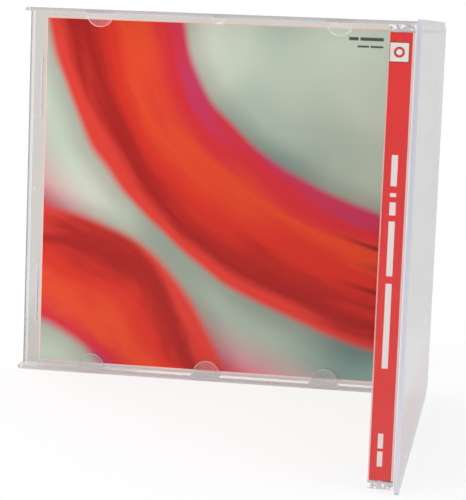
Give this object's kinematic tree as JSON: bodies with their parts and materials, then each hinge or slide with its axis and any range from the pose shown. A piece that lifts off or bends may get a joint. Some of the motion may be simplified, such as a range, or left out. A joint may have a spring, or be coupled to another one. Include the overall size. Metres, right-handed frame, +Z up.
{
  "type": "music cd",
  "caption": "Compact disc in a clear hinged jewel case that stands open, with booklet, inlay card and snap-in tray.",
  "frame": {"origin": "centre of the bounding box of the case as it stands open at a right angle, on the surface it stands on", "axes": "+Z up along the hinge line; the base stands at +X with its back face towards +X and its spine towards -Y; the lid runs along -X with its inside towards -Y"},
  "size_m": [0.142, 0.142, 0.125],
  "materials": {
    "clear_plastic": "clear glossy polystyrene",
    "card": "printed card",
    "disc": "mirror-like aluminium layer under clear plastic",
    "paper": "printed coated paper",
    "steel": "bare wire"
  },
  "bodies": {
    "base": {"back_shell": "clear_plastic", "tray_card": "card", "disc_tray": "clear_plastic", "disc": "disc"},
    "lid": {"front_cover": "clear_plastic", "booklet": "paper", "staple_lower": "steel", "staple_upper": "steel"}
  },
  "joints": [
    {"name": "lid_hinge", "type": "hinge", "parent": "base", "child": "lid", "pos_m": [0.0659, 0.0659, 0.0625], "axis": [0, 0, 1], "range_deg": [-90, 90]}
  ]
}
